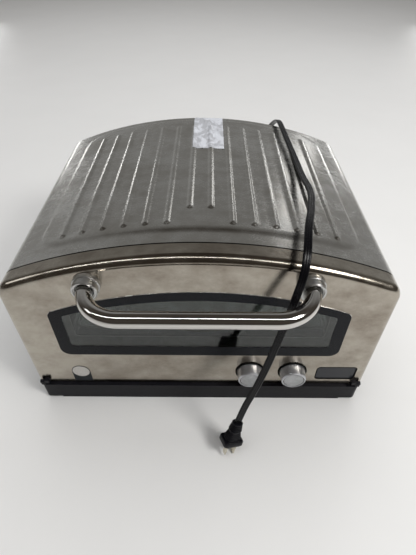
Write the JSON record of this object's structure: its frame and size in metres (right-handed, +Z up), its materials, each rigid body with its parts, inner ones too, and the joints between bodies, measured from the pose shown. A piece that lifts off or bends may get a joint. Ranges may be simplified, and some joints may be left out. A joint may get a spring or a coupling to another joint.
{
  "type": "countertop pizza oven",
  "caption": "Domed steel countertop oven with a drop-down windowed front, chrome bar handle, push-and-turn knobs, display, and a mains cord laid over its top.",
  "frame": {"origin": "on the table under the middle of the oven's own box, cord and plug left out", "axes": "+X to the oven's right seen from the front, +Y to the back, +Z up"},
  "size_m": [0.47, 0.5723, 0.2921],
  "materials": {
    "top_steel": "brushed satin",
    "front_steel": "satin",
    "black_paint": "fine textured",
    "foot_rubber": "matte",
    "inner_steel": "aluminised sheet",
    "element_tube": "oxidised",
    "fibre": "mineral wool",
    "cordierite": "unglazed ceramic",
    "rack_wire": "bright wire",
    "plated_steel": "zinc plated",
    "lamp_glass": "clear",
    "white_ceramic": "steatite",
    "board_green": "solder mask",
    "dark_plastic": "moulded",
    "black_bezel": "gloss",
    "window_glass": "smoked",
    "seal_silicone": "matte",
    "badge_white": "gloss",
    "handle_chrome": "polished",
    "boss_aluminium": "turned satin",
    "knob_aluminium": "turned satin",
    "display_smoke": "smoked gloss",
    "cord_black": "satin",
    "plug_black": "satin",
    "brass_plate": "nickel plated"
  },
  "bodies": {
    "root": {"base_pan": "black_paint", "rubber_feet": "foot_rubber", "top_cover": "top_steel", "rear_panel": "top_steel", "rear_bumpers": "dark_plastic", "cover_screws": "plated_steel", "front_frame": "inner_steel", "cavity_liner": "inner_steel", "insulation_blanket": "fibre", "upper_heating_element": "element_tube", "lower_heating_element": "element_tube", "element_flanges": "plated_steel", "pizza_stone": "cordierite", "stone_rack": "rack_wire", "rack_guides": "inner_steel", "crumb_tray": "inner_steel", "temperature_probe": "plated_steel", "probe_nut": "brass_plate", "lamp_lens": "lamp_glass", "lamp_socket": "white_ceramic", "thermal_cutout": "white_ceramic", "board_posts": "dark_plastic", "power_board": "board_green", "board_components": "dark_plastic", "hinge_ears": "black_paint", "hinge_pins": "black_paint", "power_cord": "cord_black", "cord_gland": "plug_black", "plug_body": "plug_black", "plug_blades": "brass_plate", "plug_ground_pin": "brass_plate"},
    "door": {"hinge_knuckles": "black_paint", "door_skin": "front_steel", "window_bezel": "black_bezel", "outer_glass": "window_glass", "door_inner_panel": "inner_steel", "inner_glass": "window_glass", "inner_glass_frame": "inner_steel", "door_seal": "seal_silicone", "badge_disc": "badge_white", "handle_bar": "handle_chrome", "handle_boss_left": "boss_aluminium", "handle_boss_right": "boss_aluminium", "handle_collar_left": "boss_aluminium", "handle_collar_right": "boss_aluminium", "handle_screws": "plated_steel", "handle_inserts": "plated_steel", "display_lens": "display_smoke", "display_module": "dark_plastic", "control_board": "board_green", "encoder_left": "dark_plastic", "encoder_right": "dark_plastic"},
    "push_left": {"push_plunger_left": "dark_plastic"},
    "turn_left": {"knob_left": "knob_aluminium", "knob_cap_left": "knob_aluminium", "knob_shaft_left": "plated_steel"},
    "push_right": {"push_plunger_right": "dark_plastic"},
    "turn_right": {"knob_right": "knob_aluminium", "knob_cap_right": "knob_aluminium", "knob_shaft_right": "plated_steel"}
  },
  "joints": [
    {"name": "door_hinge", "type": "hinge", "parent": "root", "child": "door", "pos_m": [0, -0.1657, 0.0395], "axis": [1, 0, 0], "range_deg": [0, 78], "deforming": ["power_cord"]},
    {"name": "knob_push_left", "type": "slide", "parent": "door", "child": "push_left", "axis": [0, 1, 0], "range_m": [0, 0.0015], "stiffness_N_per_m": 900, "springref_m": -0.002},
    {"name": "knob_turn_left", "type": "hinge", "parent": "push_left", "child": "turn_left", "pos_m": [0.0695, -0.1785, 0.0635], "axis": [0, 1, 0], "continuous": true},
    {"name": "knob_push_right", "type": "slide", "parent": "door", "child": "push_right", "axis": [0, 1, 0], "range_m": [0, 0.0015], "stiffness_N_per_m": 900, "springref_m": -0.002},
    {"name": "knob_turn_right", "type": "hinge", "parent": "push_right", "child": "turn_right", "pos_m": [0.129, -0.1785, 0.0635], "axis": [0, 1, 0], "continuous": true}
  ]
}
